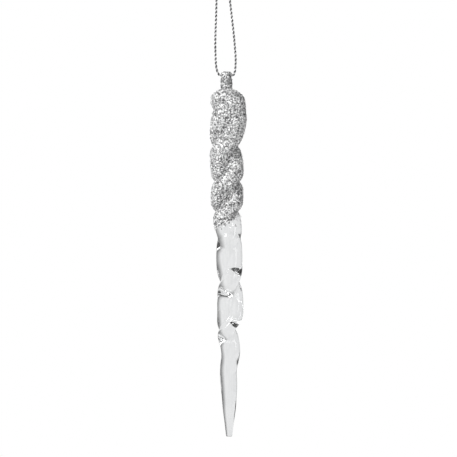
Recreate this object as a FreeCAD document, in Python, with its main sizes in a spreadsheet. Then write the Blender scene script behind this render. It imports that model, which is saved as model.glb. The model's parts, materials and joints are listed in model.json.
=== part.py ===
import FreeCAD, Part
import math
import os

# Icicle hanging ornament: a clear moulded icicle of two twisted lobes with an eyelet stem, a glitter
# coat over its upper part, and a loop of two-ply metallic cord tied in a knot.
#
# Frame: millimetres, +Z up. The origin is the hang point, the inner apex of the cord loop just below
# the knot. +X is to the right and -Y is towards the viewer. The eyelet hole runs along X.

Vector = FreeCAD.Vector
Y_AXIS = Vector(0, 1, 0)
Z_AXIS = Vector(0, 0, 1)

document = FreeCAD.newDocument("IcicleOrnament")
sheet = document.addObject("Spreadsheet::Sheet", "Dimensions")

# Driving dimensions, in millimetres and degrees.
DIMENSIONS = {
    "eyelet_depth": 64.5,  # hang point down to the axis of the eyelet hole
    "stem_shift": 2.7,  # stem axis to the right of the hang point, because the loop leans
    "stem_radius": 1.95,
    "stem_length": 6.4,  # stem top down to the icicle's shoulder
    "stem_root": 2.5,  # how far the stem reaches into the shoulder
    "stem_rounding": 0.9,
    "hole_radius": 0.8,
    "hole_drop": 1.55,  # stem top down to the axis of the hole
    "shoulder_height": 4.4,
    "shoulder_start": 0.3,  # share of the full width where the shoulder's skin starts, in the stem
    "groove_depth": 0.37,  # share of the radius that a groove takes
    "groove_steep_angle": 17.0,  # how far round a groove's steep side and its long side reach
    "groove_long_angle": 34.0,
    "second_groove_start": 15.4,  # one groove begins in the shoulder, the other below it
    "second_groove_full": 21.6,
    "coat_gap": 0.02,
    "coat_thickness": 0.26,
    "coat_edge_depth": 57.0,  # the coat's lower edge at the stem axis, below the stem top
    "coat_edge_tilt": 28.0,  # the edge hangs lower on the left
    "ply_radius": 0.24,
    "ply_spacing": 0.26,  # axis of a ply to the axis of the cord
    "ply_pitch": 3.0,
    "cord_rise": 0.27,  # the cord carries the top of the hole, so it runs above the hole's axis
    "eyelet_run": 1.3,  # half the straight run of cord inside the hole
    "leg_spacing": 0.53,  # cord axis to the hang point's axis, where the legs meet
    "knot_gap": 0.06,
    "knot_half_width": 1.95,
    "knot_half_height": 2.1,
    "wrap_radius": 1.75,  # axis of a wrap's cord to the knot's middle
    "wrap_spacing": 0.95,
    "wrap_tilt": 20.0,
    "cord_radius": 0.5,
    "tail_length": 8.0,
    "tail_lean": 11.0,
}

# Stations down the icicle, a quarter turn of twist apart: depth below the stem top, sideways shift of
# the section's centre from the stem axis, and half width seen from the front. At an even station the
# two lobes lie side by side, and at an odd one they lie one behind the other. Between stations the
# twist is slow near an even one and quick near an odd one, as the two halves of a mould ask for.
STATIONS = [
    (9.9, 0.44, 6.39),
    (14.5, 0.96, 6.50),
    (18.5, 0.88, 6.60),
    (28.8, -0.34, 4.91),
    (36.8, 0.26, 6.08),
    (42.2, 0.36, 4.94),
    (49.1, 0.20, 5.95),
    (53.7, 0.19, 4.34),
    (60.5, 0.84, 5.10),
    (63.9, 1.06, 4.38),
    (71.2, 1.12, 5.03),
    (80.9, 1.28, 4.15),
    (93.0, 1.46, 5.01),
    (99.1, 0.36, 3.60),
    (107.5, 1.65, 3.63),
    (114.5, 0.76, 3.22),
    (121.4, 1.03, 3.15),
    (128.3, 1.09, 2.67),
    (140.0, 1.08, 1.16),
]

# How deep the grooves are down the icicle: depth below the stem top, and share of the full groove.
# They start in the shoulder, are shallow below the coat's edge, and fade out into the plain spear.
GROOVE_SHARES = [
    (6.4, 0.5),
    (15.3, 0.55),
    (22.2, 1.0),
    (53.5, 1.0),
    (63.5, 0.4),
    (72.0, 0.6),
    (81.0, 1.0),
    (99.0, 1.0),
    (107.5, 0.45),
    (116.0, 0.0),
]

# The cord's left and right legs, from the eyelet up: distance out from the stem axis (left is
# negative) and height above the eyelet's axis. The top of each leg is set by leg_spacing.
LEFT_LEG = [(-2.55, 0.42), (-3.25, 1.3), (-3.85, 3.3), (-4.15, 7.0), (-4.27, 14.0), (-3.81, 29.2)]
RIGHT_LEG = [(2.55, 0.42), (3.1, 1.3), (3.45, 3.4), (3.54, 7.3), (2.75, 16.9), (1.35, 29.2)]

TWIST_EASE = 1.7  # 1 is an even twist
RING_POINTS = 44  # control points round a section of the icicle
ROW_SPACING = 0.7  # control rows down the icicle
ICICLE_PATCH_ROWS = 8
SHOULDER_ROWS = 9
TIP_SHARES = (0.96, 0.6)  # the last control rings are drawn in, which rounds the blunt tip's edge
CORD_RING_POINTS = 8
ROWS_PER_PITCH = 12
PAST_EDGE = 12.0  # the coat's skins run on below its edge before the edge is cut
PAST_OUTER = 2.0  # and the inner one further than the outer
BOX_SIDE = 80.0  # larger than the icicle, for the half space under the coat's edge


def fill_sheet():
    rows = dict(DIMENSIONS)
    for number, (depth, shift, half_width) in enumerate(STATIONS):
        rows["station_depth_%02d_down" % number] = depth
        rows["station_shift_%02d_right" % number] = shift
        rows["station_width_%02d_half" % number] = half_width
    for number, (depth, share) in enumerate(GROOVE_SHARES):
        rows["groove_point_%02d_down" % number] = depth
        rows["groove_point_%02d_share" % number] = share
    for row, (alias, value) in enumerate(rows.items(), start=1):
        sheet.set("A%d" % row, alias.replace("_", " "))
        sheet.set("B%d" % row, str(value))
        sheet.setAlias("B%d" % row, alias)
    document.recompute()


def size(alias):
    return float(sheet.get(alias))


def stations():
    """The stations as the sheet holds them."""
    rows = []
    for number in range(len(STATIONS)):
        depth = size("station_depth_%02d_down" % number)
        shift = size("station_shift_%02d_right" % number)
        half_width = size("station_width_%02d_half" % number)
        rows.append((depth, shift, half_width))
    return rows


def groove_shares():
    """Depth and share of the full groove, as the sheet holds them."""
    rows = []
    for number in range(len(GROOVE_SHARES)):
        rows.append((size("groove_point_%02d_down" % number), size("groove_point_%02d_share" % number)))
    return rows


def bind(thing, **expressions):
    """Bind properties to cells of the sheet; a double underscore stands for a dot."""
    for name, expression in expressions.items():
        thing.setExpression(name.replace("__", "."), expression)


def smooth(points, at):
    """A smooth curve through (position, value) points, read at one position."""
    if at <= points[0][0]:
        return points[0][1]
    if at >= points[-1][0]:
        return points[-1][1]
    last = len(points) - 1
    left = max(i for i in range(last) if points[i][0] <= at)
    span = points[left + 1][0] - points[left][0]
    rise = points[left + 1][1] - points[left][1]

    def slope(i):
        before = points[max(i - 1, 0)]
        after = points[min(i + 1, last)]
        return (after[1] - before[1]) / (after[0] - before[0])

    step = (at - points[left][0]) / span
    out = slope(left) * span
    into = slope(left + 1) * span
    bend = step * (1 - step)
    return points[left][1] + rise * step + bend * ((1 - step) * (out - rise) - step * (into - rise))


def skin_solid(rings, patch_rows):
    """A closed solid whose side is one smooth surface shaped by rings of control points.

    No primitive or body operation makes this skin: a loft through so many turned sections folds over
    itself. The side is divided along its length into faces of patch_rows rows, with no step between.
    """
    around = len(rings[0])
    along = len(rings)
    poles = [[ring[i] for ring in rings] for i in range(around)]
    surface = Part.BSplineSurface()
    surface.buildFromPolesMultsKnots(
        poles,
        [1] * (around + 1),
        [4] + [1] * (along - 4) + [4],
        list(range(around + 1)),
        list(range(along - 2)),
        True,
        False,
        3,
        3,
    )
    last = along - 3
    faces = []
    for low in range(0, last, patch_rows):
        patch = surface.copy()
        patch.segment(0, around, low, min(low + patch_rows, last))
        faces.append(patch.toShape())
    for ring_end, face in ((0, faces[0]), (last, faces[-1])):
        rim = surface.vIso(ring_end).toShape()
        faces.append(Part.Face(Part.Wire([rim])))
    shell = Part.Compound(faces)
    shell.sewShape()
    solid = Part.Solid(shell.Shells[0])
    if solid.Volume < 0:
        solid.reverse()
    return solid


def shape_feature(name, shape):
    """A shape computed above, held in the document as an object of its own."""
    feature = document.addObject("Part::Feature", name)
    feature.Shape = shape
    return feature


# ---- the twisted icicle ------------------------------------------------------------------------


def quarter_turns(depths, at):
    """Twist at a depth, counted in quarter turns from the first station."""
    if at <= depths[0]:
        return 0
    if at >= depths[-1]:
        return len(depths) - 1
    above = max(i for i in range(len(depths) - 1) if depths[i] <= at)
    share = (at - depths[above]) / (depths[above + 1] - depths[above])
    if above % 2:
        return above + 1 - (1 - share) ** TWIST_EASE
    return above + share**TWIST_EASE


def groove_depths(depth):
    """Depths of the two grooves, as shares of the radius, at a depth down the icicle."""
    first = size("groove_depth") * smooth(groove_shares(), depth)
    begun = [(size("second_groove_start"), 0), (size("second_groove_full"), 1)]
    return first, first * smooth(begun, depth)


def lobed_profile(first, second):
    """Unit section of the two lobes, -1 to 1 both ways, with a groove at its back and its front.

    A groove rises steeply on one side, as if that lobe overlapped its neighbour.
    """
    steep = math.radians(size("groove_steep_angle"))
    long = math.radians(size("groove_long_angle"))
    raw = []
    for i in range(RING_POINTS):
        angle = 2 * math.pi * i / RING_POINTS
        radius = 1
        for groove, place in ((first, 1.5 * math.pi), (second, 0.5 * math.pi)):
            past = (angle - place + math.pi) % (2 * math.pi) - math.pi
            reach = steep if past > 0 else long
            radius -= groove * math.exp(-((past / reach) ** 2))
        raw.append((radius * math.cos(angle), radius * math.sin(angle)))
    widest = max(abs(across) for across, deep in raw)
    fullest = max(abs(deep) for across, deep in raw)
    return [(across / widest, deep / fullest) for across, deep in raw]


def moved_out(points, distance):
    """A closed outline with every point moved out along its normal."""
    count = len(points)
    moved = []
    for i, (x, y) in enumerate(points):
        before = points[i - 1]
        after = points[(i + 1) % count]
        along = Vector(after[0] - before[0], after[1] - before[1], 0).normalize()
        moved.append((x + along.y * distance, y - along.x * distance))
    return moved


def icicle_skin(offset, end_depth=None):
    """The twisted body as a solid, its surface moved out by offset, optionally cut short."""
    rows = stations()
    shifts = [(depth, shift) for depth, shift, half_width in rows]
    side_by_side = [(row[0], row[2]) for row in rows[0::2]]
    # the spear below the last turns is round, so both widths share its stations
    one_behind = [(row[0], row[2]) for row in rows[1::2]] + [(rows[-1][0], rows[-1][2])]
    depths = [row[0] for row in rows]
    length = rows[-1][0]
    top = size("stem_length")
    shoulder = size("shoulder_height")

    def ring(depth, share):
        first, second = groove_depths(depth)
        wide = smooth(side_by_side, depth)
        thick = smooth(one_behind, depth)
        profile = lobed_profile(first * share, second * share)
        outline = [(wide * across, thick * deep) for across, deep in profile]
        outline = moved_out(outline, offset)
        turn = -math.pi / 2 * quarter_turns(depths, depth)
        # above the first station the shift runs back to the stem axis
        run_in = min(1, max(0, (depth - top) / shoulder))
        shift = size("stem_shift") + smooth(shifts, depth) * run_in
        points = []
        for x, y in outline:
            across = share * (x * math.cos(turn) - y * math.sin(turn))
            deep = share * (x * math.sin(turn) + y * math.cos(turn))
            points.append(Vector(shift + across, deep, stem_top() - depth))
        return points

    rings = []
    start = math.asin(size("shoulder_start"))
    for i in range(SHOULDER_ROWS):
        angle = start + (math.pi / 2 - start) * i / SHOULDER_ROWS
        depth = top + shoulder - (shoulder + offset) * math.cos(angle)
        rings.append(ring(depth, math.sin(angle)))
    bottom = end_depth or length - ROW_SPACING / 2
    count = round((bottom - top - shoulder) / ROW_SPACING)
    for i in range(count + 1):
        depth = top + shoulder + (bottom - top - shoulder) * i / count
        rings.append(ring(depth, 1))
    if not end_depth:
        rings += [ring(length, share) for share in TIP_SHARES]
    return skin_solid(rings, ICICLE_PATCH_ROWS)


def stem_top():
    return size("hole_drop") - size("eyelet_depth")


def stem(name, offset_expression):
    """The eyelet stem, a cylinder with a rounded top, grown on every side by an offset."""
    cylinder = document.addObject("Part::Cylinder", name + "_cylinder")
    bind(
        cylinder,
        Radius="Dimensions.stem_radius + " + offset_expression,
        Height="Dimensions.stem_length + Dimensions.stem_root + " + offset_expression,
        Placement__Base__x="Dimensions.stem_shift",
        Placement__Base__z="Dimensions.hole_drop - Dimensions.eyelet_depth - Dimensions.stem_length"
        " - Dimensions.stem_root",
    )
    document.recompute()
    rounded = document.addObject("Part::Fillet", name + "_rounded")
    rounded.Base = cylinder
    highest = cylinder.Shape.BoundBox.ZMax
    rims = [i for i, edge in enumerate(cylinder.Shape.Edges, start=1) if edge.BoundBox.ZMin > highest - 0.01]
    rounded.Edges = [(rim, size("stem_rounding"), size("stem_rounding")) for rim in rims]
    return rounded


def eyelet_drill(name):
    """The cross hole along X, as a cylinder longer than the stem is wide."""
    drill = document.addObject("Part::Cylinder", name)
    bind(
        drill,
        Radius="Dimensions.hole_radius",
        Height="Dimensions.stem_radius * 4",
        Placement__Base__x="Dimensions.stem_shift - Dimensions.stem_radius * 2",
        Placement__Base__z="-Dimensions.eyelet_depth",
    )
    drill.Placement.Rotation = FreeCAD.Rotation(Y_AXIS, 90)
    return drill


def fuse(name, shapes):
    joined = document.addObject("Part::MultiFuse", name)
    joined.Shapes = shapes
    return joined


def cut(name, base, tool):
    left = document.addObject("Part::Cut", name)
    left.Base = base
    left.Tool = tool
    return left


def build_icicle_body():
    """The clear moulding: twisted icicle, eyelet stem and hole."""
    twist = shape_feature("icicle_twist", icicle_skin(0))
    whole = fuse("icicle_solid", [twist, stem("stem", "0")])
    body = cut("icicle_body", whole, eyelet_drill("eyelet_hole"))
    return body


def build_glitter_coat():
    """A thin shell over the stem and the upper icicle, down to a tilted lower edge."""
    gap = size("coat_gap")
    reach = size("coat_edge_depth") + PAST_EDGE
    outer_twist = shape_feature("coat_outer_twist", icicle_skin(gap + size("coat_thickness"), reach))
    inner_twist = shape_feature("coat_inner_twist", icicle_skin(gap, reach + PAST_OUTER))
    outer_stem = stem("coat_stem", "Dimensions.coat_gap + Dimensions.coat_thickness")
    inner_stem = stem("coat_bore", "Dimensions.coat_gap")
    outer = fuse("coat_outer", [outer_twist, outer_stem])
    inner = fuse("coat_inner", [inner_twist, inner_stem])
    shell = cut("coat_shell", outer, inner)
    drilled = cut("coat_drilled", shell, eyelet_drill("coat_hole"))
    below = document.addObject("Part::Box", "below_coat_edge")
    below.Length = BOX_SIDE
    below.Width = BOX_SIDE
    below.Height = BOX_SIDE
    tilt = FreeCAD.Rotation(Y_AXIS, -size("coat_edge_tilt"))
    edge_centre = Vector(size("stem_shift"), 0, stem_top() - size("coat_edge_depth"))
    corner = edge_centre + tilt.multVec(Vector(-BOX_SIDE / 2, -BOX_SIDE / 2, -BOX_SIDE))
    below.Placement = FreeCAD.Placement(corner, tilt)
    return cut("glitter_coat", drilled, below)


# ---- the cord ----------------------------------------------------------------------------------


def loop_curve():
    """The cord's centre line: up from the eyelet to the hang point on both sides."""
    base = Vector(size("stem_shift"), 0, -size("eyelet_depth"))
    top = -size("knot_gap")
    points = [Vector(-size("leg_spacing"), 0, top)]
    points += [base + Vector(x, 0, z) for x, z in reversed(LEFT_LEG)]
    run = size("eyelet_run")
    points += [base + Vector(x, 0, size("cord_rise")) for x in (-run, run)]
    points += [base + Vector(x, 0, z) for x, z in RIGHT_LEG]
    points.append(Vector(size("leg_spacing"), 0, top))
    curve = Part.BSplineCurve()
    curve.interpolate(Points=points, InitialTangent=-Z_AXIS, FinalTangent=Z_AXIS)
    return curve


def tube_rings(centres, radius):
    """Rings of control points round a line of centres, for skin_solid."""
    # a cubic surface runs inside its control ring by this share
    inside = (2 + math.cos(2 * math.pi / CORD_RING_POINTS)) / 3
    rings = []
    last = len(centres) - 1
    for i, centre in enumerate(centres):
        along = (centres[min(i + 1, last)] - centres[max(i - 1, 0)]).normalize()
        across = along.cross(Y_AXIS).normalize()
        up = across.cross(along)
        ring = []
        for k in range(CORD_RING_POINTS):
            angle = 2 * math.pi * k / CORD_RING_POINTS
            ring.append(centre + (across * math.cos(angle) + up * math.sin(angle)) * (radius / inside))
        rings.append(ring)
    return rings


def build_ply(name, phase):
    """One ply of the cord, wound round the loop's centre line."""
    curve = loop_curve()
    length = curve.length()
    count = round(length / size("ply_pitch") * ROWS_PER_PITCH)
    centres = []
    for i in range(count + 1):
        travelled = length * i / count
        at = curve.parameterAtDistance(travelled, curve.FirstParameter)
        along = curve.tangent(at)[0]
        side = along.cross(Y_AXIS)
        turn = phase + 2 * math.pi * travelled / size("ply_pitch")
        away = Y_AXIS * math.cos(turn) + side * math.sin(turn)
        centres.append(curve.value(at) + away * size("ply_spacing"))
    rings = tube_rings(centres, size("ply_radius"))
    for ring, height in ((rings[0], -size("knot_gap")), (rings[-1], -size("knot_gap"))):
        for point in ring:
            point.z = height
    return shape_feature(name, skin_solid(rings, ROWS_PER_PITCH))


def build_wrap(name, side):
    """One turn of cord round the knot, on one side of the knot's tilted middle plane."""
    wrap = document.addObject("Part::Torus", name)
    bind(wrap, Radius1="Dimensions.wrap_radius", Radius2="Dimensions.cord_radius")
    tilt = FreeCAD.Rotation(Y_AXIS, size("wrap_tilt"))
    middle = Vector(0, 0, size("knot_half_height"))
    away = tilt.multVec(Z_AXIS) * (side * size("wrap_spacing") / 2)
    wrap.Placement = FreeCAD.Placement(middle + away, tilt)
    return wrap


def build_tail(name, side):
    """A tail of cord, from inside the knot up and outwards."""
    tail = document.addObject("Part::Cylinder", name)
    bind(tail, Radius="Dimensions.cord_radius", Height="Dimensions.tail_length")
    lean = FreeCAD.Rotation(Y_AXIS, side * size("tail_lean"))
    foot = Vector(side * size("leg_spacing"), 0, size("knot_half_height"))
    tail.Placement = FreeCAD.Placement(foot, lean)
    return tail


def build_knot():
    """The knot in the doubled cord: a rounded core, two wraps side by side, and the two tails."""
    core = document.addObject("Part::Ellipsoid", "knot_core")
    bind(
        core,
        Radius1="Dimensions.knot_half_height",
        Radius2="Dimensions.knot_half_width",
        Radius3="Dimensions.knot_half_width",
        Placement__Base__z="Dimensions.knot_half_height",
    )
    wraps = [build_wrap("low_wrap", -1), build_wrap("high_wrap", 1)]
    tails = [build_tail("left_tail", -1), build_tail("right_tail", 1)]
    return fuse("cord_knot", [core] + wraps + tails)


# ---- the parts ---------------------------------------------------------------------------------


def check(parts):
    """Stop unless every object computed and every part is one valid solid."""
    for thing in document.Objects:
        if "Invalid" in thing.State or "Error" in thing.State:
            raise RuntimeError("%s did not compute: %s" % (thing.Label, thing.State))
    for name, part in parts.items():
        shape = part.Shape
        if shape.isNull() or not shape.isValid() or len(shape.Solids) != 1:
            raise RuntimeError("%s is not one valid solid" % name)


def main():
    fill_sheet()
    parts = {
        "icicle_body": build_icicle_body(),
        "glitter_coat": build_glitter_coat(),
        "cord_ply_a": build_ply("cord_ply_a", 0),
        "cord_ply_b": build_ply("cord_ply_b", math.pi),
        "cord_knot": build_knot(),
    }
    document.recompute()
    for name, part in parts.items():
        part.Label = name
    check(parts)
    os.makedirs("parts", exist_ok=True)
    for name, part in parts.items():
        part.Shape.exportStep("parts/%s.step" % name)
        print(name, round(part.Shape.Volume, 2), part.Shape.BoundBox)


main()
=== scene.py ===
import json
import math

import bmesh
import bpy
import numpy as np
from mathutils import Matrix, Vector
from mathutils.bvhtree import BVHTree


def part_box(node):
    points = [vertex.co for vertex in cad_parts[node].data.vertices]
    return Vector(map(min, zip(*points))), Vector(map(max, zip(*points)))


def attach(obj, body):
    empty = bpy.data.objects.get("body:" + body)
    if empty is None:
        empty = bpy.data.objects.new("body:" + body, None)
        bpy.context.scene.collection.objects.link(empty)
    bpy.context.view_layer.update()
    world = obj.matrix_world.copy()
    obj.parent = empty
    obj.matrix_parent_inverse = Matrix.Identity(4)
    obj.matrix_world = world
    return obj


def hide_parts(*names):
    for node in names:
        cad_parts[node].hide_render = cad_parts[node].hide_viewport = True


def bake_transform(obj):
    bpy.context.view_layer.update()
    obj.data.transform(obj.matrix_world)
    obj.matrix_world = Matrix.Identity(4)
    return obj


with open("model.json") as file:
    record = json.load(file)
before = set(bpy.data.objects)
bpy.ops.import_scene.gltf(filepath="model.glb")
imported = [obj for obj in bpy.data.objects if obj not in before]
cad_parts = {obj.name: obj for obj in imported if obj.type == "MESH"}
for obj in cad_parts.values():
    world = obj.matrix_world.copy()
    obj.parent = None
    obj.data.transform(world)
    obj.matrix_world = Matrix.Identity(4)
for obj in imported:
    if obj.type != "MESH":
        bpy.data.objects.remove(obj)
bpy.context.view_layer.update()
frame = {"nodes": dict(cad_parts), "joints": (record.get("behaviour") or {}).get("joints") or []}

# The looks of an icicle hanging ornament: a clear moulded icicle with fine flow marks, thousands of
# silver glitter flakes in a binder over its upper part, and a loop of two-ply metallised cord closed
# by an overhand knot. Metres, in the part's own frame: the origin is the hang point, +Z is up, +X is
# to the right and the viewer is on the -Y side. Angles round the icicle start at +X.

MM = 0.001

# ---- places read from the frame ----------------------------------------------------------------

joints = {joint["name"]: joint for joint in frame["joints"]}
EYELET = np.array(joints["swing"]["pos_m"])
STEM_X = EYELET[0]
STEM_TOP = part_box("icicle_body")[1][2]
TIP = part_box("icicle_body")[0][2]
COAT_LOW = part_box("glitter_coat")[0][2]

# ---- the clear icicle --------------------------------------------------------------------------

HOLE_RADIUS = 0.8 * MM
DRILL_SIDES = 48
DRILL_LENGTH = 12 * MM
STEM_LENGTH = 6.4 * MM
STEM_ROUNDING = 0.9 * MM
STEM_ROOT = 0.1  # share of the stem's length that its width isn't measured on
STEM_CLEARANCE = 0.25 * MM  # from the shoulder's first row up to the stem's
COAT_STEM_CLEARANCE = 0.3 * MM
STEM_ROWS = 16
ROUNDING_ROWS = 6
SHOULDER_HEIGHT = 4.4 * MM
SHOULDER_ROWS = 14
SHOULDER_START = 0.32  # angle from the shoulder's top at which its first row lies, radians
COLUMNS = 112  # round the icicle
ROW_STEP = 0.32 * MM
LAST_ROW = 0.35 * MM  # above the tip
SECTION_REACH = 1.3 * MM  # how near a corner is to count for a section's middle

# Passes of averaging: of the radii round and along, of the centre line, and of the clear part.
PASSES_ROUND = 2
PASSES_ALONG = 3
PASSES_CENTRE = 12
CLEAR_PASSES_ROUND = 9
CLEAR_PASSES_ALONG = 16
HOLLOW_PASSES = 70  # for the surroundings a hollow is measured from
CLEAR_BLEND = 6 * MM  # height above the coat's lowest place over which the softer surface sets in

# The blunt tip's rows: share of the last section's radius, and height above the tip.
TIP_ROWS = [(0.45, 0.0), (0.82, 0.04 * MM)]
FLUTES = 5
FLUTE_DEPTH = 0.02 * MM
FLUTE_PHASE = 3
FLUTES_SET_IN = (0.74, 0.82)  # share of the length from the stem's top
UNEVENNESS = 0.02 * MM
UNEVEN_WAVES = 3
UNEVEN_PITCH = 2.6 * MM

# ---- the glitter coat --------------------------------------------------------------------------

EDGE_TILT = math.radians(28)  # of the lower edge in the front view, lower on the left
EDGE_SEED = 11
EDGE_RAGGEDNESS = 0.7 * MM
EDGE_MIDDLE = 4 * MM  # height of the tilted edge's middle above its lowest place
EDGE_HALF_WIDTH = 5.0 * MM
BACK_RISE = 1.3 * MM  # the coat's edge is higher at the back than at the front by twice this
COAT_ROWS = 170
BINDER_IN = 0.02 * MM
BINDER_OUT = 0.10 * MM
BINDER_RAISED = 1.4 * MM  # the binder ends this far above the flakes' edge
BINDER_HOLE_RADIUS = 0.82 * MM
FLECKS_BELOW = (1.5 * MM, 4.5 * MM)  # how far flecks go below the edge on the left and the right
FLECK_ROWS = 16
FLECK_DENSITY = 0.35  # at the edge, as a share of the coat's
FLECK_DECAY = 3.5  # powers of e by which the density falls from the edge to the last flecks
THIN_ROWS = 6  # rows just above the edge, where the flakes grow to their full density
THIN_DENSITY = 0.5  # in the lowest of them

FLAKE_SEED = 7
FLAKE_COUNT = 23000
FLAKES_PER_PIECE = 8000
FLAKE_SIDES = 6
FLAKE_RADIUS = (0.19 * MM, 0.31 * MM)
FLAKE_THICKNESS = 0.035 * MM
FLAKE_LIFT = (0.10 * MM, 0.30 * MM)
FLAKE_TILT = math.radians(16)
FLAKE_TILT_LIMIT = math.radians(55)
TILTED_LIFT = 0.3  # share of a tilted flake's overhang by which it is lifted
HOLE_CLEARANCE = 1.02 * MM  # no flake's middle is nearer the eyelet's axis
HOLE_ZONE = 2 * MM  # height below the eyelet's axis where that rule ends
STEM_PAINTED_SHADE = 0.78  # painted shade: tone of the flakes on the stem, as a share of the others'
HOLLOW_PAINTED_SHADE = 0.12  # painted shade: share of its tone that a flake loses in a hollow of this depth; a ridge gains a painted highlight the same way
HOLLOW_DEPTH = 0.5 * MM
HOLLOW_RANGE = (-0.8, 1.0)  # hollows, with painted shade, and ridges, with a painted highlight, that count, in such depths

# ---- the cord ----------------------------------------------------------------------------------

CORD_RADIUS = 0.50 * MM
PLY_SPACING = 0.235 * MM  # axis of a ply to the axis of the cord
YARN_SPACING = 0.155 * MM  # axis of a yarn to the axis of its ply
YARN_SIZE = (0.10 * MM, 0.07 * MM)  # half width and half thickness
PLY_PITCH = 3.0 * MM
YARNS_PER_PLY = 6
YARN_SIDES = 6
YARN_PITCH = -2.1 * MM
FRAY = 1.5  # share by which the yarns move apart at the cut ends
FRAY_LENGTH = 1.3 * MM
CORD_STEP = 0.17 * MM
CORD_PASSES = 10
CORD_RISE = 0.27 * MM  # of the cord's axis over the eyelet's, where it hangs in the hole
INSIDE_HOLE = 1.3  # half the straight length in the hole, mm
LEG_SPACING = 0.53 * MM  # of a leg from the loop's middle just below the knot
LEG_SPREAD = 0.01 * MM
LEG_START = 1.5 * MM  # the legs run parallel this far below the hang point
SPAN_POINTS = 24

# The cord's legs from the eyelet up: distance out from the stem axis and height above the eyelet, mm.
LEFT_LEG = [(-2.55, 0.42), (-3.25, 1.3), (-3.85, 3.3), (-4.15, 7.0), (-4.27, 14.0), (-3.81, 29.2)]
RIGHT_LEG = [(2.55, 0.42), (3.1, 1.3), (3.45, 3.4), (3.54, 7.3), (2.75, 16.9), (1.35, 29.2)]

TAIL_LENGTH = 5.5 * MM
TAIL_POINTS = 10
TAIL_START = 0.15  # share of its length at which a tail's first point lies
TAIL_LEAN = (0.16, -0.05)  # per unit of height: outwards, and in Y to the same side
TAIL_CURL = (0.9 * MM, 0.35 * MM)  # at the tail's end: outwards, and in Y

# ---- the knot: lengths are in cord diameters ---------------------------------------------------

KNOT_POINTS = 130  # of each of the two cords
KNOT_SPAN = 2.12  # the overhand curve's parameter runs from minus this to this
KNOT_SCALE = (2.2, 1.6, 0.42)  # of the overhand curve in X, Y and Z
KNOT_SIDE_BY_SIDE = 0.55  # half the distance between the cords before they are pulled tight
KNOT_END_SPACING = 0.53  # half the distance between the cords' held ends
KNOT_SLACK = 12.0  # length of cord that the pull leaves in the knot
KNOT_PULL_SHARE = 0.75  # share of the rounds in which the ends move
KNOT_ROUNDS = 650
LENGTH_PASSES = 6
CONTACT_PASSES = 2
CONTACT_GAP = 1.04  # the least distance between two axes
CONTACT_PUSH = 0.25  # share of an overlap that each of the two points is moved back in one pass
NEIGHBOUR_LENGTH = 1.9  # points nearer than this along one cord don't push each other
STIFFNESS = 0.08  # how fast a point moves to its neighbours' middle
KNOT_STEEP = 0.85  # a cord that climbs less steeply than this belongs to the knot
KNOT_MARGIN = 0.75  # from the knot's lowest axis to its underside

# ---- the studio --------------------------------------------------------------------------------

FRAME_HEIGHT = 175.8 * MM  # of the square picture, at the ornament
BOTTOM_MARGIN = 7.9 * MM  # below the tip
CAMERA_DISTANCE = 1.1
CAMERA_SIDE = 0.8 * MM  # of the picture's middle from the stem's axis
CAMERA_CLIP = 0.01

# Name, place, size and power of each area light.
LIGHTS = [
    ("key", (-0.55, -0.50, 0.45), (0.30, 0.5), 4.0),
    ("fill", (0.55, -0.55, 0.1), (0.3, 0.5), 1.2),
    ("top", (-0.1, 0.2, 0.7), (0.3, 0.3), 1.0),
]

# The mirrored studio's brightness from the side away from the light to the light's own side.
LIGHT_SIDE = (-0.8, 0.5, -0.3)  # right, up and away from the camera
STUDIO_TONES = [(0.0, 0.26), (0.3, 0.36), (0.55, 0.56), (0.78, 0.88), (1.0, 1.5)]
# Dark cards seen through the plastic, from left to right and from below to above.
SIDE_CARDS = [(0.0, 0.25), (0.06, 1.0), (0.66, 1.0), (0.77, 0.55), (0.90, 0.10)]
TOP_CARD = [(0.0, 1.0), (0.66, 1.0), (0.80, 0.30), (0.90, 0.04)]

FLOOR_RADIUS = 1.0
FLOOR_DROP = 0.12  # below the tip
FLOOR_SEGMENTS = 96
FLOOR_RINGS = 12

WHITE = (1, 1, 1, 1)


# ---- materials ---------------------------------------------------------------------------------


class Nodes:
    """A short way to write a node tree."""

    def __init__(self, tree):
        self.tree = tree
        tree.nodes.clear()

    def add(self, kind, inputs=None, **settings):
        node = self.tree.nodes.new(kind)
        for name, value in settings.items():
            setattr(node, name, value)
        for name, value in (inputs or {}).items():
            socket = node.inputs[name]
            if isinstance(value, bpy.types.NodeSocket):
                self.tree.links.new(value, socket)
            else:
                socket.default_value = value
        return node

    def math(self, operation, *values):
        return self.add("ShaderNodeMath", dict(enumerate(values)), operation=operation).outputs[0]

    def coordinates(self, kind="Object"):
        return self.add("ShaderNodeTexCoord").outputs[kind]

    def noise(self, place, scale, detail=2.0):
        node = self.add("ShaderNodeTexNoise", {"Vector": place, "Scale": scale, "Detail": detail})
        return node.outputs["Fac"]

    def attribute(self, name):
        return self.add("ShaderNodeAttribute", attribute_name=name).outputs["Fac"]

    def bump(self, height, strength, distance):
        inputs = {"Height": height, "Strength": strength, "Distance": distance}
        return self.add("ShaderNodeBump", inputs).outputs["Normal"]

    def multiplied(self, first, second):
        """Two colours multiplied."""
        inputs = {0: 1.0, 6: first, 7: second}
        return self.add("ShaderNodeMix", inputs, data_type="RGBA", blend_type="MULTIPLY").outputs[2]

    def ramp(self, factor, stops):
        node = self.add("ShaderNodeValToRGB", {"Fac": factor})
        elements = node.color_ramp.elements
        while len(elements) < len(stops):
            elements.new(0.5)
        for element, (place, tone) in zip(elements, stops):
            element.position = place
            element.color = tone if isinstance(tone, tuple) else (tone, tone, tone, 1)
        return node.outputs["Color"]

    def principled(self, inputs):
        return self.add("ShaderNodeBsdfPrincipled", inputs).outputs[0]

    def mixed(self, share, first, second):
        return self.add("ShaderNodeMixShader", {0: share, 1: first, 2: second}).outputs[0]

    def show(self, shader, output="ShaderNodeOutputMaterial"):
        self.add(output, {"Surface": shader})


def new_material(name):
    material = bpy.data.materials.new(name)
    material.use_nodes = True
    return material, Nodes(material.node_tree)


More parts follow.
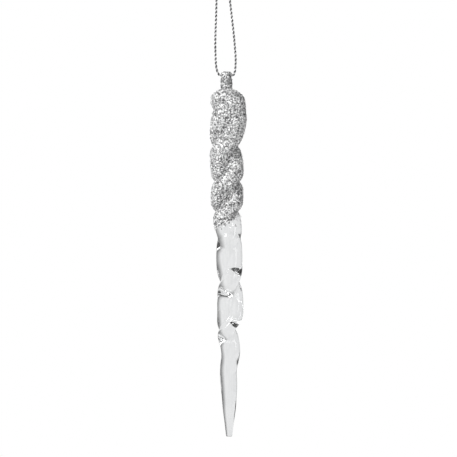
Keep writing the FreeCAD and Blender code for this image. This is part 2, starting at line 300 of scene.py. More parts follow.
def clear_plastic():
    """Clear moulded styrene: slightly grey, with faint flow marks drawn out along its length."""
    material, nodes = new_material("clear_plastic")
    place = nodes.coordinates()
    drawn = nodes.add("ShaderNodeMapping", {"Vector": place, "Scale": (1400, 1400, 55)}).outputs[0]
    flow = nodes.noise(drawn, 1.0, 3.0)
    fine = nodes.noise(place, 900.0)
    tints = [(0.3, (0.74, 0.75, 0.755, 1)), (0.7, (0.81, 0.815, 0.82, 1))]
    nodes.show(
        nodes.principled(
            {
                "Base Color": nodes.ramp(flow, tints),
                "Roughness": nodes.ramp(fine, [(0.35, 0.03), (0.75, 0.09)]),
                "IOR": 1.52,
                "Transmission Weight": 1.0,
                "Normal": nodes.bump(flow, 0.05, 0.2 * MM),
            }
        )
    )
    return material


def glitter_binder():
    """The grey-silver lacquer between the flakes, grainy with the smallest flakes."""
    material, nodes = new_material("glitter_binder")
    grain = nodes.add("ShaderNodeTexVoronoi", {"Vector": nodes.coordinates(), "Scale": 2600.0})
    nodes.show(
        nodes.principled(
            {
                "Base Color": nodes.ramp(grain.outputs["Color"], [(0.1, 0.30), (0.9, 0.85)]),
                "Metallic": 0.8,
                "Roughness": 0.38,
                "Normal": nodes.bump(grain.outputs["Distance"], 0.6, 0.2 * MM),
            }
        )
    )
    return material


def glitter_flake():
    """Scuffed aluminised film flakes: each has its own tone and polish."""
    material, nodes = new_material("glitter_flake")
    # each flake's random tone, with the painted shade and painted highlight of its place on the coat
    tone = nodes.attribute("flake_tone_and_shade")
    scuff = nodes.noise(nodes.coordinates(), 5200.0)
    dark = (0.07, 0.071, 0.073, 1)
    grey = (0.45, 0.452, 0.455, 1)
    light = (0.98, 0.98, 0.98, 1)
    color = nodes.ramp(tone, [(0.0, dark), (0.35, grey), (0.8, light)])
    polish = nodes.ramp(tone, [(0.0, 0.42), (1.0, 0.16)])
    worn = nodes.math("MULTIPLY_ADD", scuff, 0.12, 0.5)
    rough = nodes.math("ADD", polish, worn)
    nodes.show(nodes.principled({"Base Color": color, "Metallic": 1.0, "Roughness": rough}))
    return material


def metallised_yarn(name, bright, dark):
    """Silver film yarn: bright where the film turns out, with painted shade in the groove between the plies.
    """
    material, nodes = new_material(name)
    place = nodes.coordinates()
    film = nodes.noise(place, 1500.0, 3.0)
    fibre = nodes.noise(place, 9000.0)
    turned = nodes.ramp(film, [(0.35, dark), (0.62, bright)])
    # painted shade in the groove between the plies, darker nearer the cord's axis
    painted_groove_shade = nodes.ramp(nodes.attribute("out_of_groove"), [(0.79, 0.09), (0.93, 1.0)])
    nodes.show(
        nodes.principled(
            {
                "Base Color": nodes.multiplied(turned, painted_groove_shade),
                "Metallic": 0.7,
                "Roughness": nodes.ramp(fibre, [(0.3, 0.22), (0.7, 0.45)]),
                "Normal": nodes.bump(fibre, 0.4, 0.1 * MM),
            }
        )
    )
    return material


# ---- helpers -----------------------------------------------------------------------------------


def smooth_step(low, high, value):
    share = np.clip((value - low) / (high - low), 0, 1)
    return share * share * (3 - 2 * share)


def unit(vectors):
    return vectors / np.linalg.norm(vectors, axis=1)[:, None]


def smoothed(values, passes, wrap=False):
    """Neighbours averaged along the first axis."""
    for _ in range(passes):
        if wrap:
            values = 0.25 * np.roll(values, 1, 0) + 0.5 * values + 0.25 * np.roll(values, -1, 0)
        else:
            inner = 0.25 * values[:-2] + 0.5 * values[1:-1] + 0.25 * values[2:]
            values = np.concatenate([values[:1], inner, values[-1:]])
    return values


def node_corners(name):
    """The corners of a CAD node's mesh."""
    return np.array([vertex.co for vertex in frame["nodes"][name].data.vertices])


def mesh_object(name, points, faces, material, smooth=True):
    mesh = bpy.data.meshes.new(name)
    mesh.from_pydata([tuple(point) for point in points], [], faces)
    mesh.materials.append(material)
    mesh.polygons.foreach_set("use_smooth", [smooth] * len(mesh.polygons))
    mesh.update()
    piece = bpy.data.objects.new(name, mesh)
    bpy.context.scene.collection.objects.link(piece)
    return piece


def add_attribute(piece, name, values):
    attribute = piece.data.attributes.new(name, "FLOAT", "POINT")
    attribute.data.foreach_set("value", values)


def grid_faces(rows, columns, first=0):
    """Quads between closed rows of points, counter-clockwise from outside when rows run upwards."""
    faces = []
    for row in range(rows - 1):
        low = first + row * columns
        high = low + columns
        for i in range(columns):
            j = (i + 1) % columns
            faces.append((low + i, low + j, high + j, high + i))
    return faces


def end_face(row, columns):
    """One face over a closed row of points that begins at this index."""
    return tuple(range(row, row + columns))


def outward(piece):
    """Makes a closed mesh's faces point out."""
    work = bmesh.new()
    work.from_mesh(piece.data)
    bmesh.ops.recalc_face_normals(work, faces=work.faces)
    work.to_mesh(piece.data)
    work.free()


def cut_hole(piece, radius):
    """Drills the eyelet hole along X through a piece."""
    bpy.ops.mesh.primitive_cylinder_add(
        vertices=DRILL_SIDES,
        radius=radius,
        depth=DRILL_LENGTH,
        location=EYELET,
        rotation=(0, math.pi / 2, 0),
    )
    drill = bpy.context.object
    modifier = piece.modifiers.new("hole", "BOOLEAN")
    modifier.object = drill
    modifier.operation = "DIFFERENCE"
    modifier.solver = "EXACT"
    bpy.context.view_layer.objects.active = piece
    bpy.ops.object.modifier_apply(modifier=modifier.name)
    bpy.data.objects.remove(drill, do_unlink=True)


# ---- the icicle's surface, measured from the CAD node ------------------------------------------


class IcicleSurface:
    """Radius by height and angle of the twisted icicle, read from the CAD body with rays."""

    def __init__(self):
        equator = STEM_TOP - STEM_LENGTH - SHOULDER_HEIGHT
        fall = np.linspace(SHOULDER_START, math.pi / 2, SHOULDER_ROWS)
        shoulder = equator + SHOULDER_HEIGHT * np.cos(fall)
        count = int((equator - TIP) / ROW_STEP)
        below = np.linspace(equator, TIP + LAST_ROW, count)[1:]
        self.heights = np.concatenate([shoulder, below])
        self.angles = np.linspace(0, 2 * math.pi, COLUMNS, endpoint=False)
        corners = node_corners("icicle_body")
        self.centres = self.centre_line(corners)
        radii = smoothed(self.measured(corners).T, PASSES_ROUND, wrap=True).T
        radii[SHOULDER_ROWS:] = smoothed(radii[SHOULDER_ROWS:], PASSES_ALONG)
        # clear plastic shows every crease, and the moulded grooves below the coat are softly rounded
        softer = smoothed(smoothed(radii.T, CLEAR_PASSES_ROUND, wrap=True).T, CLEAR_PASSES_ALONG)
        below_coat = smooth_step(COAT_LOW + CLEAR_BLEND, COAT_LOW, self.heights)[:, None]
        self.radii = radii + (softer - radii) * below_coat
        self.hollows = smoothed(self.radii.T, HOLLOW_PASSES, wrap=True).T - self.radii

    def centre_line(self, corners):
        """The section's middle at each height, from the corners near that height."""
        centres = []
        for height in self.heights:
            near = corners[np.abs(corners[:, 2] - height) < SECTION_REACH]
            centres.append((near[:, 0].min() + near[:, 0].max()) / 2)
        return smoothed(np.array(centres), PASSES_CENTRE)

    def measured(self, corners):
        """Distance from the centre line to the CAD skin, by height and angle."""
        mesh = frame["nodes"]["icicle_body"].data
        polygons = [list(polygon.vertices) for polygon in mesh.polygons]
        tree = BVHTree.FromPolygons([Vector(corner) for corner in corners], polygons)
        rows = []
        for height, centre in zip(self.heights, self.centres):
            start = Vector((centre, 0, height))
            hits = [tree.ray_cast(start, Vector((math.cos(a), math.sin(a), 0))) for a in self.angles]
            rows.append([distance for _, _, _, distance in hits])
        return np.array(rows, float)

    def points(self, heights, angles, offset=0.0):
        """Points on the surface at arrays of heights and angles, moved out by offset."""
        rising = self.heights[::-1]
        row = np.interp(heights, rising, np.arange(len(rising)))
        low = np.clip(row.astype(int), 0, len(rising) - 2)
        part = row - low
        column = (angles / (2 * math.pi) * COLUMNS) % COLUMNS
        left = column.astype(int) % COLUMNS
        side = column - column.astype(int)
        table = self.radii[::-1]
        right = (left + 1) % COLUMNS
        under = table[low, left] * (1 - side) + table[low, right] * side
        over = table[low + 1, left] * (1 - side) + table[low + 1, right] * side
        radius = under * (1 - part) + over * part + offset
        centre = np.interp(heights, rising, self.centres[::-1])
        x = centre + radius * np.cos(angles)
        y = radius * np.sin(angles)
        return np.stack([x, y, heights], axis=-1)

    def hollow_at(self, places):
        """How far the surface lies below its surroundings at places on it; positive in a groove."""
        rising = self.heights[::-1]
        row = np.interp(places[:, 2], rising, np.arange(len(rising))[::-1])
        centre = np.interp(places[:, 2], rising, self.centres[::-1])
        angle = np.arctan2(places[:, 1], places[:, 0] - centre)
        column = np.round(angle / (2 * math.pi) * COLUMNS).astype(int) % COLUMNS
        return self.hollows[np.round(row).astype(int), column]


def stem_radius():
    """Half the stem's width, from the CAD corners of all but its root."""
    corners = node_corners("icicle_body")
    stem = corners[corners[:, 2] > STEM_TOP - STEM_LENGTH * (1 - STEM_ROOT)]
    return (stem[:, 0].max() - stem[:, 0].min()) / 2


def ring(centre_x, radius, height):
    angles = np.linspace(0, 2 * math.pi, COLUMNS, endpoint=False)
    x = centre_x + radius * np.cos(angles)
    return np.stack([x, radius * np.sin(angles), np.full(COLUMNS, height)], axis=1)


def stem_rings(root, offset=0.0):
    """Rings of the round stem from its root up over its rounded top, moved out by offset. The last
    ring lies on the flat top, half way to the middle."""
    radius = stem_radius() + offset
    inner = radius - STEM_ROUNDING
    bend = STEM_TOP + offset - STEM_ROUNDING
    rings = [ring(STEM_X, radius, height) for height in np.linspace(root, bend, STEM_ROWS)]
    for angle in np.linspace(0, math.pi / 2, ROUNDING_ROWS + 1)[1:]:
        height = bend + STEM_ROUNDING * math.sin(angle)
        rings.append(ring(STEM_X, inner + STEM_ROUNDING * math.cos(angle), height))
    rings.append(ring(STEM_X, inner * 0.5, STEM_TOP + offset))
    return rings


def build_icicle(surface, material):
    """The clear body: twist, shoulder, stem and eyelet hole in one closed skin."""
    tip_radius = surface.radii[-1].mean()
    rows = [ring(surface.centres[-1], tip_radius * share, TIP + height) for share, height in TIP_ROWS]
    for height in surface.heights[::-1]:
        # faint flutes drawn down the spear, and a slow unevenness of the mould everywhere
        depth = (STEM_TOP - height) / (STEM_TOP - TIP)
        flutes = smooth_step(*FLUTES_SET_IN, depth) * FLUTE_DEPTH
        fluted = flutes * np.cos(FLUTES * surface.angles + FLUTE_PHASE)
        uneven = UNEVENNESS * np.sin(UNEVEN_WAVES * surface.angles + height / UNEVEN_PITCH)
        rows.append(surface.points(np.full(COLUMNS, height), surface.angles, fluted + uneven))
    rows += stem_rings(surface.heights[0] + STEM_CLEARANCE)
    faces = grid_faces(len(rows), COLUMNS)
    faces.append(end_face(0, COLUMNS)[::-1])
    faces.append(end_face((len(rows) - 1) * COLUMNS, COLUMNS))
    piece = mesh_object("icicle_clear", np.concatenate(rows), faces, material)
    outward(piece)
    cut_hole(piece, HOLE_RADIUS)
    return piece


# ---- the glitter coat --------------------------------------------------------------------------


def tilted_edge(x):
    """Height of the CAD coat's tilted lower edge at x."""
    corners = node_corners("glitter_coat")
    lowest = (corners[:, 2] - math.tan(EDGE_TILT) * corners[:, 0]).min()
    return lowest + math.tan(EDGE_TILT) * x


def coat_rows(surface, offset, raised=0.0):
    """Rows of the coat from its ragged lower edge, raised by so much, up over the stem's top."""
    generator = np.random.default_rng(EDGE_SEED)
    ragged = smoothed(generator.normal(0, 1, COLUMNS), 1, wrap=True) * EDGE_RAGGEDNESS
    angles = surface.angles
    middle = np.interp(COAT_LOW + EDGE_MIDDLE, surface.heights[::-1], surface.centres[::-1])
    across = middle + EDGE_HALF_WIDTH * np.cos(angles)
    edge = tilted_edge(across) + ragged + raised + BACK_RISE * np.sin(angles)
    top = surface.heights[0]
    rows = []
    for i in range(COAT_ROWS + 1):
        share = i / COAT_ROWS
        rows.append(surface.points(edge + (top - edge) * share, angles, offset))
    return rows + stem_rings(top + COAT_STEM_CLEARANCE, offset)


def build_binder(surface, material):
    """The lacquer skin that holds the flakes: a thin closed shell with the eyelet hole."""
    outer = coat_rows(surface, BINDER_OUT, BINDER_RAISED)
    inner = coat_rows(surface, BINDER_IN, BINDER_RAISED)
    count = len(outer)
    inner_first = count * COLUMNS
    faces = grid_faces(count, COLUMNS)
    faces += [face[::-1] for face in grid_faces(count, COLUMNS, inner_first)]
    for i in range(COLUMNS):
        j = (i + 1) % COLUMNS
        faces.append((j, i, inner_first + i, inner_first + j))
    outer_last = (count - 1) * COLUMNS
    faces.append(end_face(outer_last, COLUMNS))
    faces.append(end_face(inner_first + outer_last, COLUMNS)[::-1])
    piece = mesh_object("glitter_binder", np.concatenate(outer + inner), faces, material)
    outward(piece)
    cut_hole(piece, BINDER_HOLE_RADIUS)
    return piece


def flake_rows(surface):
    """Rows for the flakes: a few below the coat's edge, where the last flecks lie, then the coat's."""
    rows = coat_rows(surface, 0.0)
    edge = rows[0][:, 2]
    fade = np.interp(np.cos(surface.angles), (-1, 1), FLECKS_BELOW)
    below = []
    for share in np.linspace(1, 0, FLECK_ROWS, endpoint=False):
        below.append(surface.points(edge - fade * share, surface.angles))
    return np.array(below + rows)


def flake_density(rows):
    """Flakes per area between the rows, as a share of the full coat's."""
    density = np.ones(rows - 1)
    density[:FLECK_ROWS] = FLECK_DENSITY * np.exp(-np.linspace(FLECK_DECAY, 0.0, FLECK_ROWS))
    density[FLECK_ROWS : FLECK_ROWS + THIN_ROWS] = np.linspace(THIN_DENSITY, 1.0, THIN_ROWS)
    return density


def flake_places(surface, generator):
    """Evenly spread points and normals over the coat, thinning out below its edge."""
    grid = flake_rows(surface)
    low_left = grid[:-1]
    high_left = grid[1:]
    low_right = np.roll(low_left, -1, axis=1)
    high_right = np.roll(high_left, -1, axis=1)
    sideways = low_right - low_left + high_right - high_left
    upwards = high_left - low_left + high_right - low_right
    normal = np.cross(sideways, upwards)
    area = np.linalg.norm(normal, axis=2)
    weight = (area * flake_density(len(grid))[:, None]).ravel()
    chosen = generator.choice(len(weight), size=FLAKE_COUNT, p=weight / weight.sum())
    u = generator.random((FLAKE_COUNT, 1))
    v = generator.random((FLAKE_COUNT, 1))
    flat = [corner.reshape(-1, 3)[chosen] for corner in (low_left, low_right, high_left, high_right)]
    place = (flat[0] * (1 - u) + flat[1] * u) * (1 - v) + (flat[2] * (1 - u) + flat[3] * u) * v
    direction = unit(normal.reshape(-1, 3)[chosen])
    off_hole = np.hypot(place[:, 2] - EYELET[2], place[:, 1]) > HOLE_CLEARANCE
    keep = off_hole | (place[:, 2] < EYELET[2] - HOLE_ZONE)
    return place[keep], direction[keep]


def flake_corners(place, normal, generator):
    """Corners of thin many-sided flakes, each tilted its own way: the lower ring, then the upper."""
    count = len(place)
    side = unit(np.cross(normal, generator.normal(size=(count, 3))))
    tilt = np.abs(generator.normal(0, FLAKE_TILT, count)).clip(0, FLAKE_TILT_LIMIT)
    facing = normal * np.cos(tilt)[:, None] + side * np.sin(tilt)[:, None]
    first = unit(np.cross(facing, generator.normal(size=(count, 3))))
    second = np.cross(facing, first)
    radius = generator.uniform(*FLAKE_RADIUS, count)
    lift = generator.uniform(*FLAKE_LIFT, count) + radius * np.sin(tilt) * TILTED_LIFT
    middle = place + normal * lift[:, None]
    corners = []
    for level in (-0.5, 0.5):
        for k in range(FLAKE_SIDES):
            angle = 2 * math.pi / FLAKE_SIDES * k
            reach = first * math.cos(angle) + second * math.sin(angle)
            corners.append(middle + reach * radius[:, None] + facing * (level * FLAKE_THICKNESS))
    return np.stack(corners, axis=1)


def flake_tones_and_painted_shade(surface, place, generator):
    """Each flake's random tone, with painted shade on the thin stem and in the grooves and a painted
    highlight on the ridges.
    """
    # painted shade on the stem's flakes
    on_stem = place[:, 2] > STEM_TOP - STEM_LENGTH
    stem_painted_shade = np.where(on_stem, STEM_PAINTED_SHADE, 1.0)
    # painted shade in the grooves and a painted highlight on the ridges
    hollow = np.where(on_stem, 0, surface.hollow_at(place)) / HOLLOW_DEPTH
    return generator.random(len(place)) * stem_painted_shade * (1 - HOLLOW_PAINTED_SHADE * hollow.clip(*HOLLOW_RANGE))


def build_flakes(surface, material):
    """The glitter: thousands of separate thin flakes, as a few pieces."""
    generator = np.random.default_rng(FLAKE_SEED)
    place, normal = flake_places(surface, generator)
    corners = flake_corners(place, normal, generator)
    # each flake's random tone with its painted shade and painted highlight
    tones_and_shade = flake_tones_and_painted_shade(surface, place, generator)
    per_flake = 2 * FLAKE_SIDES
    flake_faces = [end_face(0, FLAKE_SIDES)[::-1], end_face(FLAKE_SIDES, FLAKE_SIDES)]
    flake_faces += grid_faces(2, FLAKE_SIDES)
    pieces = []
    for number, start in enumerate(range(0, len(place), FLAKES_PER_PIECE), start=1):
        chunk = corners[start : start + FLAKES_PER_PIECE]
        faces = [tuple(per_flake * i + c for c in face) for i in range(len(chunk)) for face in flake_faces]
        name = "glitter_flakes_%d" % number
        piece = mesh_object(name, chunk.reshape(-1, 3), faces, material, smooth=False)
        add_attribute(piece, "flake_tone_and_shade", np.repeat(tones_and_shade[start : start + FLAKES_PER_PIECE], per_flake))
        pieces.append(piece)
    return pieces


# ---- the knot ----------------------------------------------------------------------------------


def travelled_along(points):
    lengths = np.linalg.norm(np.diff(points, axis=0), axis=1)
    return np.concatenate([[0], np.cumsum(lengths)])


def resampled(points, count):
    """The same line with this many evenly spaced points."""
    travelled = travelled_along(points)
    at = np.linspace(0, travelled[-1], count)
    return np.stack([np.interp(at, travelled, points[:, k]) for k in range(3)], axis=1)


def evenly(points, step):
    """The same line with points this far apart."""
    steps = int(round(travelled_along(points)[-1] / step))
    return resampled(points, steps + 1)


def carried_across(line, start):
    """Unit directions across a line, from a first one, turning as little as possible."""
    along = unit(np.gradient(line, axis=0))
    across = np.zeros_like(line)
    side = np.array(start)
    for i, direction in enumerate(along):
        side = side - direction * (side @ direction)
        side /= np.linalg.norm(side)
        across[i] = side
    return along, across


def loose_knot():
    """Two cords side by side along an open overhand curve."""
    t = np.linspace(-KNOT_SPAN, KNOT_SPAN, KNOT_POINTS)
    middle = np.stack([t**3 - 3 * t, t**4 - 4 * t**2, t**5 - 10 * t], axis=1) * KNOT_SCALE
    _, across = carried_across(middle, (1.0, 0.0, 0.0))
    offset = KNOT_SIDE_BY_SIDE * across
    return np.concatenate([resampled(middle + offset, KNOT_POINTS), resampled(middle - offset, KNOT_POINTS)])


def touching_pairs(spacing):
    """Pairs of points that push each other: all but those near each other along one cord."""
    index = np.arange(2 * KNOT_POINTS)
    same = (index[:, None] < KNOT_POINTS) == (index[None] < KNOT_POINTS)
    near = same & (np.abs(index[:, None] - index[None]) * spacing < NEIGHBOUR_LENGTH)
    return np.nonzero(np.triu(~near, 1))


def keep_lengths(points, first, rest):
    """Moves linked points to their distance, the even links and then the odd ones."""
    for parity in (0, 1):
        pick = first % 2 == parity
        low = first[pick]
        link = points[low + 1] - points[low]
        size = np.linalg.norm(link, axis=1)
        move = (0.5 * (size - rest[pick]) / size)[:, None] * link
        points[low] += move
        points[low + 1] -= move


def keep_apart(points, one, two):
    """Pushes points apart that lie nearer than a cord's thickness."""
    gap = points[two] - points[one]
    size = np.linalg.norm(gap, axis=1)
    close = size < CONTACT_GAP
    push = (CONTACT_PUSH * (CONTACT_GAP - size[close]) / size[close])[:, None] * gap[close]
    np.add.at(points, one[close], -push)
    np.add.at(points, two[close], push)


def straightened(points, held):
    """Points moved a little towards their neighbours' middle, as a stiff cord's are."""
    relaxed = points.copy()
    relaxed[1:-1] += STIFFNESS * (points[:-2] + points[2:] - 2 * points[1:-1])
    relaxed[held] = points[held]
    return relaxed


def tie_knot():
    """An overhand knot in two cords side by side, pulled tight by moving points apart and together.

    The result is two lines of points, left and right, that start at the hang point and end above
    the knot.
    """
    points = loose_knot()
    count = KNOT_POINTS
    first = np.concatenate([np.arange(count - 1), count + np.arange(count - 1)])
    rest = np.linalg.norm(points[first + 1] - points[first], axis=1)
    one, two = touching_pairs(rest.mean())
    held = [0, count - 1, count, 2 * count - 1]
    loose_height = abs(points[-1, 2] - points[count, 2])
    tight_height = rest.sum() / 2 - KNOT_SLACK
    for step in range(KNOT_ROUNDS):
        pull = min(1, step / (KNOT_ROUNDS * KNOT_PULL_SHARE))
        half = (loose_height + (tight_height - loose_height) * pull) / 2
        for end, height in ((0, half), (count - 1, -half)):
            points[end] = (-KNOT_END_SPACING, 0, height)
            points[count + end] = (KNOT_END_SPACING, 0, height)
        for _ in range(LENGTH_PASSES):
            keep_lengths(points, first, rest)
        for _ in range(CONTACT_PASSES):
            keep_apart(points, one, two)
        points = straightened(points, held)
    lines = []
    for cord in (points[:count], points[count:]):
        lines.append(cord[::-1] if cord[0, 2] > cord[-1, 2] else cord)
    return only_the_knot(lines)


def only_the_knot(lines):
    """The two lines cut to the knot itself and set on the hang point, in metres, left one first."""
    spans = []
    for line in lines:
        along = unit(np.diff(line, axis=0))
        turning = np.nonzero(along[:, 2] < KNOT_STEEP)[0]
        spans.append((turning.min(), turning.max()))
    entry = np.mean([line[first] for line, (first, last) in zip(lines, spans)], axis=0)
    lowest = min(line[first : last + 1, 2].min() for line, (first, last) in zip(lines, spans))
    entry[2] = lowest - KNOT_MARGIN
    knots = []
    for line, (first, last) in zip(lines, spans):
        knots.append((line[first - 1 : last + 3] - entry) * 2 * CORD_RADIUS)
    knots.sort(key=lambda knot: knot[0, 0])
    return knots


# ---- the cord ----------------------------------------------------------------------------------


def smooth_line(points):
    """A smooth line through the given points (Catmull-Rom, spaced by distance)."""
    out = []
    for i in range(len(points) - 1):
        before = points[max(i - 1, 0)]
        start = points[i]
        end = points[i + 1]
        after = points[min(i + 2, len(points) - 1)]
        span = np.linalg.norm(end - start)
        enter = (end - before) / np.linalg.norm(end - before) * span
        leave = (after - start) / np.linalg.norm(after - start) * span
        for share in np.linspace(0, 1, SPAN_POINTS, endpoint=False):
            a = 2 * share**3 - 3 * share**2 + 1
            b = share**3 - 2 * share**2 + share
            c = share**3 - share**2
            out.append(a * start + b * enter + (1 - a) * end + c * leave)
    out.append(points[-1])
    return np.array(out)


def loop_line():
    """The cord's centre line from the hang point down the left leg, through the eyelet and up."""
    spread = LEG_SPACING + LEG_SPREAD
    points = [np.array([-LEG_SPACING, 0, 0.0]), np.array([-spread, 0, -LEG_START])]
    points += [EYELET + np.array([x, 0, z]) * MM for x, z in reversed(LEFT_LEG)]
    points += [EYELET + np.array([x * MM, 0, CORD_RISE]) for x in (-INSIDE_HOLE, INSIDE_HOLE)]
    points += [EYELET + np.array([x, 0, z]) * MM for x, z in RIGHT_LEG]
    points += [np.array([spread, 0, -LEG_START]), np.array([LEG_SPACING, 0, 0.0])]
    return smooth_line(points)


def with_tail(knot, side):
    """One of the knot's two cords with its cut tail; side is -1 for the left one and 1 for the right."""
    lean = np.array([side * TAIL_LEAN[0], side * TAIL_LEAN[1], 1.0])
    lean /= np.linalg.norm(lean)
    curl = np.array([side * TAIL_CURL[0], TAIL_CURL[1], 0.0])
    shares = np.linspace(TAIL_START, 1, TAIL_POINTS)[:, None]
    return np.concatenate([knot, knot[-1] + lean * TAIL_LENGTH * shares + curl * shares**2])


def cord_line():
    """The whole cord: tail, knot, left leg, eyelet, right leg, knot, tail."""
    left, right = tie_knot()
    whole = np.concatenate([with_tail(left, -1)[::-1], loop_line(), with_tail(right, 1)])
    whole = evenly(whole, CORD_STEP)
    return evenly(smoothed(whole, CORD_PASSES), CORD_STEP)


def wound(line, spacing, pitch, phase):
    """A line wound round another at a spacing, which may vary along it, and its directions outwards."""
    along, across = carried_across(line, (0.0, 1.0, 0.0))
    up = np.cross(along, across)
    travelled = np.arange(len(line)) * CORD_STEP
    turn = phase + 2 * math.pi * travelled / pitch
    away = across * np.cos(turn)[:, None] + up * np.sin(turn)[:, None]
    return line + away * np.broadcast_to(spacing, len(line))[:, None], away


def tube(line, outwards, wide, thin, sides):
    """Points and faces of a closed flattened tube; thin is its size along outwards."""
    along = unit(np.gradient(line, axis=0))
    across = unit(np.cross(along, outwards))
    up = np.cross(across, along)
    points = []
    for k in range(sides):
        angle = 2 * math.pi * k / sides
        points.append(line + across * (wide * math.cos(angle)) + up * (thin * math.sin(angle)))
    points = np.stack(points, axis=1).reshape(-1, 3)
    faces = grid_faces(len(line), sides)
    faces.append(end_face(0, sides)[::-1])
    faces.append(end_face((len(line) - 1) * sides, sides))
    return points, faces


def build_ply(name, line, phase, materials):
    """One ply: film yarns wound the other way round the ply's own line, frayed at the cut ends."""
    count = len(line)
    travelled = np.arange(count) * CORD_STEP
    to_end = np.minimum(travelled, travelled[-1] - travelled)
    fray = 1 + FRAY * (1 - smooth_step(0, FRAY_LENGTH, to_end))
    ply, _ = wound(line, PLY_SPACING * fray, PLY_PITCH, phase)
    points = []
    faces = []
    slots = []
    start = 0
    for k in range(YARNS_PER_PLY):
        lag = 2 * math.pi * k / YARNS_PER_PLY
        yarn, away = wound(ply, YARN_SPACING * fray, YARN_PITCH, lag)
        yarn_points, yarn_faces = tube(yarn, away, *YARN_SIZE, YARN_SIDES)
        points.append(yarn_points)
        faces += [tuple(start + i for i in face) for face in yarn_faces]
        slots += [k % 2] * len(yarn_faces)
        start += len(yarn_points)
    points = np.concatenate(points)
    piece = mesh_object(name, points, faces, materials[0])
    piece.data.materials.append(materials[1])
    piece.data.polygons.foreach_set("material_index", slots)
    # distance out from the cord's axis, for the yarn material's painted shade in the groove between the
    # plies
    nearest = np.tile(np.repeat(np.arange(count), YARN_SIDES), YARNS_PER_PLY)
    outermost = PLY_SPACING + YARN_SPACING + YARN_SIZE[1]
    add_attribute(piece, "out_of_groove", np.linalg.norm(points - line[nearest], axis=1) / outermost)
    outward(piece)
    return piece


def build_cord(yarns):
    """Both plies, built from yarns in place of the CAD plies and knot."""
    line = cord_line()
    ply_a = build_ply("cord_ply_a_yarns", line, 0.0, yarns)
    ply_b = build_ply("cord_ply_b_yarns", line, math.pi, yarns)
    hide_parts("cord_ply_a")
    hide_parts("cord_ply_b", "cord_knot")
    for ply in (ply_a, ply_b):
        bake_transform(ply)


# ---- studio ------------------------------------------------------------------------------------


def build_world():
    """A white studio for what is seen directly, white with dark cards for what is seen through the
    plastic, and a contrasty one for what is mirrored: bright from the upper left, dark towards the
    lower right. Directions are the camera's own, so the studio stands round the camera."""
    world = bpy.data.worlds.new("studio")
    bpy.context.scene.world = world
    world.use_nodes = True
    nodes = Nodes(world.node_tree)
    direction = nodes.coordinates("Camera")
    ray = nodes.add("ShaderNodeLightPath")
    light_side = Vector(LIGHT_SIDE).normalized()
    facing = nodes.add("ShaderNodeVectorMath", {0: direction, 1: light_side}, operation="DOT_PRODUCT")
    studio = nodes.ramp(as_share(nodes, facing.outputs["Value"]), STUDIO_TONES)
    mirrored = background(nodes, studio)
    through = background(nodes, card_pattern(nodes, direction))
    indirect = nodes.mixed(ray.outputs["Is Transmission Ray"], mirrored, through)
    final = nodes.mixed(ray.outputs["Is Camera Ray"], indirect, background(nodes, WHITE))
    nodes.show(final, "ShaderNodeOutputWorld")


def background(nodes, color):
    return nodes.add("ShaderNodeBackground", {"Color": color, "Strength": 1.0}).outputs[0]


def as_share(nodes, value):
    """A value from -1 to 1 as a share from 0 to 1."""
    return nodes.math("MULTIPLY_ADD", value, 0.5, 0.5)


def card_pattern(nodes, direction):
    """White surroundings, dark above and to the right of the camera's view, as black cards beside a
    lens are, which draw the edges of clear plastic from every side."""
    parts = nodes.add("ShaderNodeSeparateXYZ", {0: direction})
    side = nodes.ramp(as_share(nodes, parts.outputs["X"]), SIDE_CARDS)
    above = nodes.ramp(as_share(nodes, parts.outputs["Y"]), TOP_CARD)
    return nodes.multiplied(side, above)


def build_lights(target):
    for name, place, size, power in LIGHTS:
        light = bpy.data.lights.new(name, "AREA")
        light.shape = "RECTANGLE"
        light.size, light.size_y = size
        light.energy = power
        lamp = bpy.data.objects.new(name, light)
        lamp.location = place
        lamp.rotation_mode = "QUATERNION"
        lamp.rotation_quaternion = (Vector(target) - Vector(place)).to_track_quat("-Z", "Y")
        bpy.context.scene.collection.objects.link(lamp)


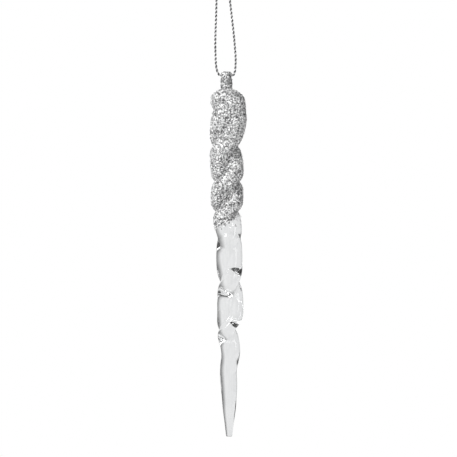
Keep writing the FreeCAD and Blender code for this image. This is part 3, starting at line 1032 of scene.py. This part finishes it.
def pale_floor():
    """Matt white with a faint grain that turns into the white surroundings towards the rim."""
    material, nodes = new_material("pale_floor")
    place = nodes.coordinates()
    flat = nodes.add("ShaderNodeVectorMath", {0: place, 1: (1, 1, 0)}, operation="MULTIPLY")
    away = nodes.add("ShaderNodeVectorMath", {0: flat.outputs[0]}, operation="LENGTH").outputs["Value"]
    tone = nodes.ramp(nodes.noise(place, 30.0), [(0.3, 0.86), (0.7, 0.90)])
    matt = nodes.principled({"Base Color": tone, "Roughness": 0.7})
    glow = nodes.add("ShaderNodeEmission", {"Color": WHITE, "Strength": 1.0}).outputs[0]
    share = nodes.ramp(away, [(0.0, 0.55), (0.3, 0.6), (0.95, 1.0)])
    nodes.show(nodes.mixed(share, matt, glow))
    return material


def build_floor():
    """A round pale floor well below the tip."""
    points = []
    for k in range(1, FLOOR_RINGS + 1):
        radius = FLOOR_RADIUS * k / FLOOR_RINGS
        for i in range(FLOOR_SEGMENTS):
            angle = 2 * math.pi * i / FLOOR_SEGMENTS
            points.append((radius * math.cos(angle), radius * math.sin(angle), TIP - FLOOR_DROP))
    faces = [face[::-1] for face in grid_faces(FLOOR_RINGS, FLOOR_SEGMENTS)]
    faces.append(end_face(0, FLOOR_SEGMENTS))
    mesh_object("floor", points, faces, pale_floor())


def build_camera(middle):
    """Level view from the front, its middle at this height."""
    camera = bpy.data.cameras.new("camera")
    camera.lens = camera.sensor_width * CAMERA_DISTANCE / FRAME_HEIGHT
    camera.clip_start = CAMERA_CLIP
    holder = bpy.data.objects.new("camera", camera)
    holder.location = (STEM_X + CAMERA_SIDE, -CAMERA_DISTANCE, middle)
    holder.rotation_euler = (math.pi / 2, 0, 0)
    bpy.context.scene.collection.objects.link(holder)
    bpy.context.scene.camera = holder


# ---- the scene ---------------------------------------------------------------------------------

surface = IcicleSurface()
icicle = build_icicle(surface, clear_plastic())
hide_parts("icicle_body")
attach(icicle, "icicle")

binder = build_binder(surface, glitter_binder())
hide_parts("glitter_coat")
for piece in [binder] + build_flakes(surface, glitter_flake()):
    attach(piece, "icicle")

bright_yarn = metallised_yarn("silver_film_yarn", (0.97, 0.97, 0.98, 1), (0.60, 0.60, 0.61, 1))
grey_yarn = metallised_yarn("grey_film_yarn", (0.80, 0.80, 0.81, 1), (0.40, 0.40, 0.41, 1))
build_cord((bright_yarn, grey_yarn))

# The picture takes in the icicle and the lower loop.
picture_middle = TIP - BOTTOM_MARGIN + FRAME_HEIGHT / 2
bpy.context.scene.view_settings.view_transform = "Standard"
build_world()
build_floor()
build_camera(picture_middle)
build_lights((STEM_X, 0, picture_middle))
